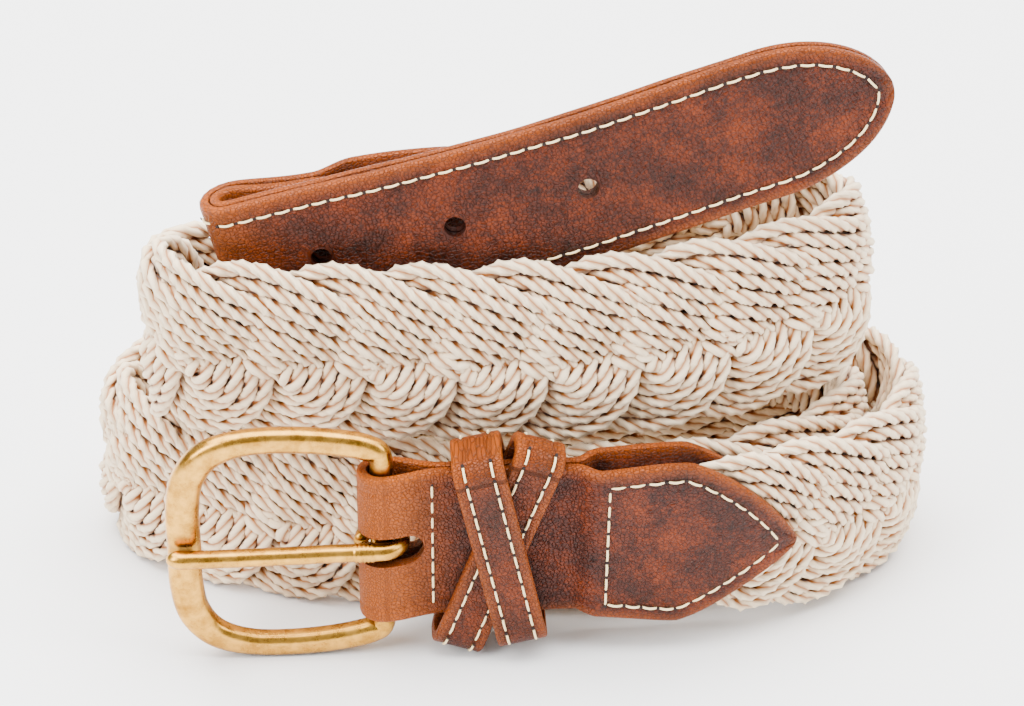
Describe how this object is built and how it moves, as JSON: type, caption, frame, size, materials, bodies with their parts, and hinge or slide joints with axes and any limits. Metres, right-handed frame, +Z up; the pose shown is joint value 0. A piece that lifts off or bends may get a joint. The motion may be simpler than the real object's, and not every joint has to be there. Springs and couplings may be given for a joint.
{
  "type": "rope belt",
  "caption": "Coiled belt of plaited cotton rope with leather chape, crossing leather keepers, brass frame buckle with prong, and a punched leather tip strap folded back out of the coil.",
  "frame": {"origin": "on the surface that the belt stands on, under the middle of the whole belt's bounding box", "axes": "+Z up, across the belt's width; +X to the right along the coil; -Y to the front, where the buckle is"},
  "size_m": [0.1618, 0.0798, 0.1139],
  "materials": {
    "cotton_rope": "natural twisted cotton, matt and slightly fuzzy",
    "leather": "tan pebbled leather, semi-matt, burnished lighter edges",
    "brass": "satin polished cast brass"
  },
  "bodies": {
    "belt": {"braid": "cotton_rope", "chape": "leather", "keeper_under": "leather", "keeper_over": "leather", "tip_outer": "leather", "tip_backing": "leather"},
    "buckle": {"buckle_frame": "brass"},
    "prong": {"prong": "brass"}
  },
  "joints": [
    {"name": "buckle_pivot", "type": "hinge", "parent": "belt", "child": "buckle", "pos_m": [-0.02423, -0.03193, 0.026], "axis": [0, 0, 1], "range_deg": [0, 30]},
    {"name": "prong_pivot", "type": "hinge", "parent": "buckle", "child": "prong", "pos_m": [-0.02423, -0.03193, 0.026], "axis": [0, 0, 1], "range_deg": [0, 85]}
  ]
}
